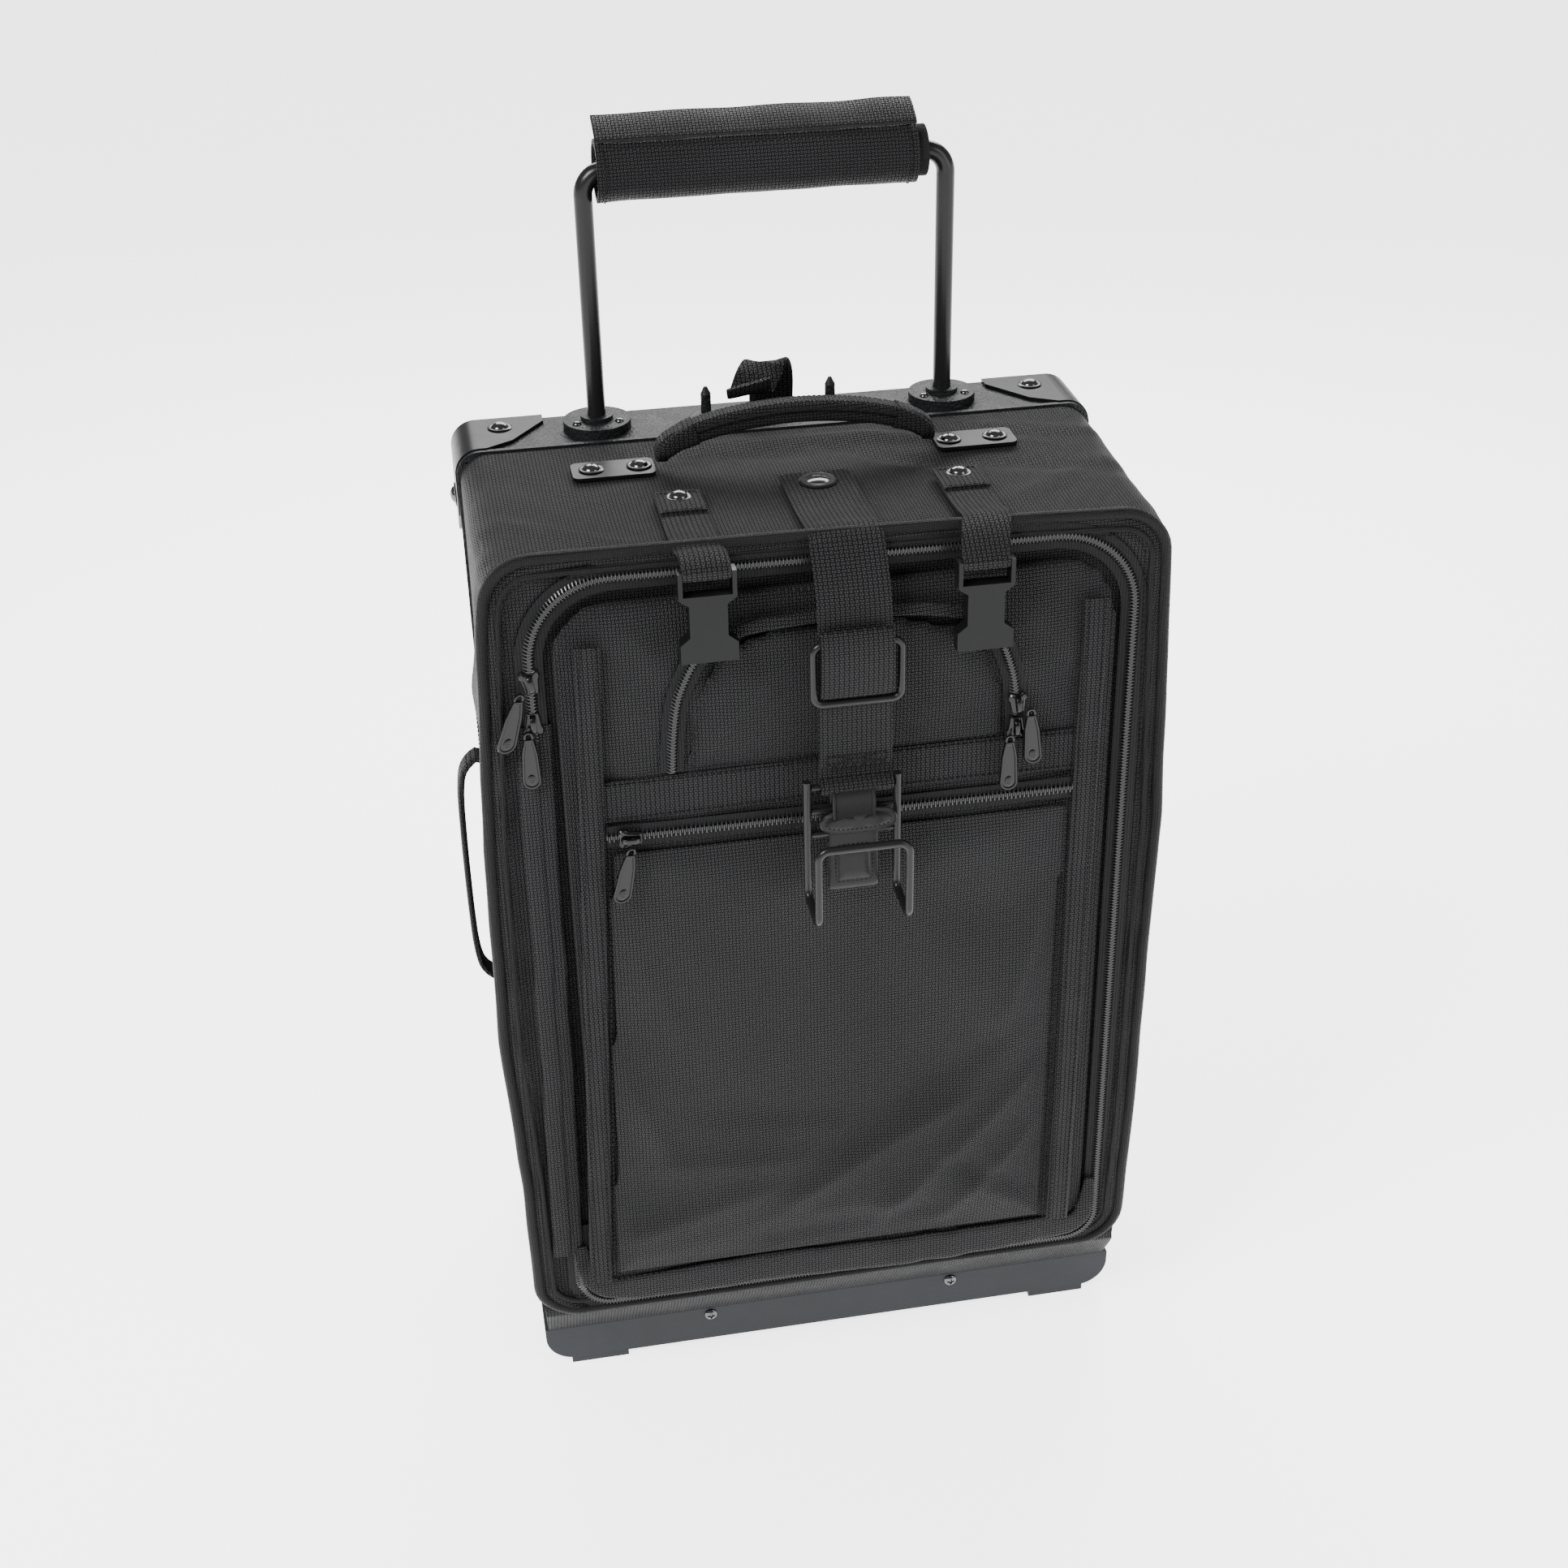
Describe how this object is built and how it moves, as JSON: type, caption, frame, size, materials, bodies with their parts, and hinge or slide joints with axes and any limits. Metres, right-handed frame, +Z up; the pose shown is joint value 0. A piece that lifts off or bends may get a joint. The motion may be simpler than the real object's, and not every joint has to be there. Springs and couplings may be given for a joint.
{
  "type": "pilot rolling flight case",
  "caption": "Upright wheeled cabin case with a hard rear frame, telescoping U handle, zipped front panel with pockets, and a strap hook for a second bag.",
  "frame": {"origin": "on the floor, under the middle of the whole object's box", "axes": "+X to the case's right seen from the front, +Y towards its back where the wheels are, +Z up"},
  "size_m": [0.3782, 0.2746, 0.7178],
  "materials": {
    "ballistic_nylon": "black basket weave, matte with a dull sheen",
    "webbing": "black ribbed webbing",
    "piping_fabric": "black woven cover over a cord",
    "zip_coil": "black nylon coil on grey-black tape",
    "zip_metal": "glossy black",
    "frame_plastic": "black, fine pebble texture",
    "guard_metal": "satin black",
    "skid_plastic": "satin slate grey",
    "rod_metal": "satin black anodised",
    "rivet_metal": "black nickel, polished dome",
    "buckle_plastic": "moulded, semi-gloss",
    "leather": "black, stitched",
    "foam": "black foam",
    "pile": "black loop pile",
    "wheel_tyre": "black polyurethane",
    "wheel_hub": "moulded dark grey",
    "steel": "zinc-plated",
    "tube_aluminium": "drawn tube"
  },
  "bodies": {
    "case": {"case_shell": "ballistic_nylon", "rear_frame": "frame_plastic", "frame_lip": "frame_plastic", "back_panel": "ballistic_nylon", "front_piping": "piping_fabric", "corner_guards": "guard_metal", "dome_rivets": "rivet_metal", "centre_rivet": "rivet_metal", "front_panel": "ballistic_nylon", "main_zip_chain": "zip_coil", "large_pocket": "ballistic_nylon", "small_pocket": "ballistic_nylon", "pocket_zip_chains": "zip_coil", "webbing_band": "webbing", "pocket_bindings": "webbing", "skid_plate": "skid_plastic", "skid_screws": "rivet_metal", "front_feet": "skid_plastic", "wheel_housings": "frame_plastic", "axle_bolts": "steel", "handle_guide_tubes": "tube_aluminium", "handle_bezels": "frame_plastic", "bezel_screws": "rivet_metal", "handle_rest_pins": "frame_plastic", "rear_strap": "webbing", "carry_handle_plates": "guard_metal", "side_handle_tabs": "webbing", "centre_strap_anchor": "webbing", "buckle_strap_anchors": "webbing", "main_zip_sliders": "zip_metal", "small_pocket_sliders": "zip_metal"},
    "pull_handle": {"handle_bail": "rod_metal", "grip_foam": "foam", "grip_wrap": "ballistic_nylon", "rod_end_bushes": "wheel_hub"},
    "wrap_flap": {"wrap_flap": "pile"},
    "wheel_left": {"tyre_left": "wheel_tyre", "hub_left": "wheel_hub", "bearings_left": "steel"},
    "wheel_right": {"tyre_right": "wheel_tyre", "hub_right": "wheel_hub", "bearings_right": "steel"},
    "carry_handle": {"carry_handle": "ballistic_nylon"},
    "side_handle": {"side_handle": "webbing"},
    "hook_strap": {"hook_strap": "webbing"},
    "adjuster": {"adjuster_ring": "rod_metal"},
    "hook": {"wire_hook": "rod_metal", "cross_pins": "rod_metal", "leather_pad": "leather"},
    "leather_keeper": {"leather_keeper": "leather"},
    "buckle_strap_left": {"buckle_strap_left": "webbing"},
    "buckle_strap_right": {"buckle_strap_right": "webbing"},
    "buckle_left": {"buckle_left": "buckle_plastic"},
    "buckle_right": {"buckle_right": "buckle_plastic"},
    "pocket_slider": {"pocket_slider": "zip_metal"},
    "pocket_pull": {"pocket_pull": "zip_metal"},
    "main_pull_upper": {"main_pull_upper": "zip_metal"},
    "main_pull_lower": {"main_pull_lower": "zip_metal"},
    "small_pull_upper": {"small_pull_upper": "zip_metal"},
    "small_pull_lower": {"small_pull_lower": "zip_metal"}
  },
  "joints": [
    {"name": "handle_slide", "type": "slide", "parent": "case", "child": "pull_handle", "axis": [0, 0, 1], "range_m": [-0.104, 0.27]},
    {"name": "wrap_flap_open", "type": "hinge", "parent": "pull_handle", "child": "wrap_flap", "pos_m": [0.0014, 0.09035, 0.7085], "axis": [1, 0, 0], "range_deg": [0, 90]},
    {"name": "wheel_left_spin", "type": "hinge", "parent": "case", "child": "wheel_left", "pos_m": [-0.1519, 0.10235, 0.035], "axis": [1, 0, 0], "continuous": true},
    {"name": "wheel_right_spin", "type": "hinge", "parent": "case", "child": "wheel_right", "pos_m": [0.1657, 0.10235, 0.035], "axis": [1, 0, 0], "continuous": true},
    {"name": "carry_handle_swing", "type": "hinge", "parent": "case", "child": "carry_handle", "pos_m": [0.0084, 0.03235, 0.5565], "axis": [1, 0, 0], "range_deg": [-60, 60]},
    {"name": "side_handle_swing", "type": "hinge", "parent": "case", "child": "side_handle", "pos_m": [-0.1756, 0.00035, 0.333], "axis": [0, 0, 1], "range_deg": [-20, 20]},
    {"name": "hook_strap_flip", "type": "hinge", "parent": "case", "child": "hook_strap", "pos_m": [0.0124, -0.07845, 0.5529], "axis": [-1, 0, 0], "range_deg": [0, 160]},
    {"name": "adjuster_slide", "type": "slide", "parent": "hook_strap", "child": "adjuster", "axis": [0, 0, 1], "range_m": [-0.022, 0.016]},
    {"name": "hook_swing", "type": "hinge", "parent": "hook_strap", "child": "hook", "pos_m": [0.0101, -0.10515, 0.424], "axis": [-1, 0, 0], "range_deg": [0, 100]},
    {"name": "leather_keeper_swing", "type": "hinge", "parent": "hook", "child": "leather_keeper", "pos_m": [0.0101, -0.10515, 0.396], "axis": [-1, 0, 0], "range_deg": [-5, 45]},
    {"name": "buckle_strap_left_flip", "type": "hinge", "parent": "case", "child": "buckle_strap_left", "pos_m": [-0.0601, -0.07845, 0.5529], "axis": [-1, 0, 0], "range_deg": [0, 160]},
    {"name": "buckle_left_swing", "type": "hinge", "parent": "buckle_strap_left", "child": "buckle_left", "pos_m": [-0.0601, -0.09665, 0.5465], "axis": [-1, 0, 0], "range_deg": [0, 100]},
    {"name": "buckle_strap_right_flip", "type": "hinge", "parent": "case", "child": "buckle_strap_right", "pos_m": [0.0799, -0.07845, 0.5529], "axis": [-1, 0, 0], "range_deg": [0, 160]},
    {"name": "buckle_right_swing", "type": "hinge", "parent": "buckle_strap_right", "child": "buckle_right", "pos_m": [0.0799, -0.09665, 0.5385], "axis": [-1, 0, 0], "range_deg": [0, 100]},
    {"name": "pocket_slider_slide", "type": "slide", "parent": "case", "child": "pocket_slider", "axis": [1, 0, 0], "range_m": [0, 0.22]},
    {"name": "pocket_pull_swing", "type": "hinge", "parent": "pocket_slider", "child": "pocket_pull", "pos_m": [-0.1051, -0.09735, 0.3915], "axis": [-1, 0, 0], "range_deg": [0, 150]},
    {"name": "main_pull_upper_swing", "type": "hinge", "parent": "case", "child": "main_pull_upper", "pos_m": [-0.1551, -0.08405, 0.48], "axis": [-1, 0, 0], "range_deg": [0, 150]},
    {"name": "main_pull_lower_swing", "type": "hinge", "parent": "case", "child": "main_pull_lower", "pos_m": [-0.1517, -0.08405, 0.458], "axis": [-1, 0, 0], "range_deg": [0, 150]},
    {"name": "small_pull_upper_swing", "type": "hinge", "parent": "case", "child": "small_pull_upper", "pos_m": [0.1069, -0.09615, 0.4485], "axis": [-1, 0, 0], "range_deg": [0, 150]},
    {"name": "small_pull_lower_swing", "type": "hinge", "parent": "case", "child": "small_pull_lower", "pos_m": [0.0959, -0.09615, 0.434], "axis": [-1, 0, 0], "range_deg": [0, 150]}
  ]
}
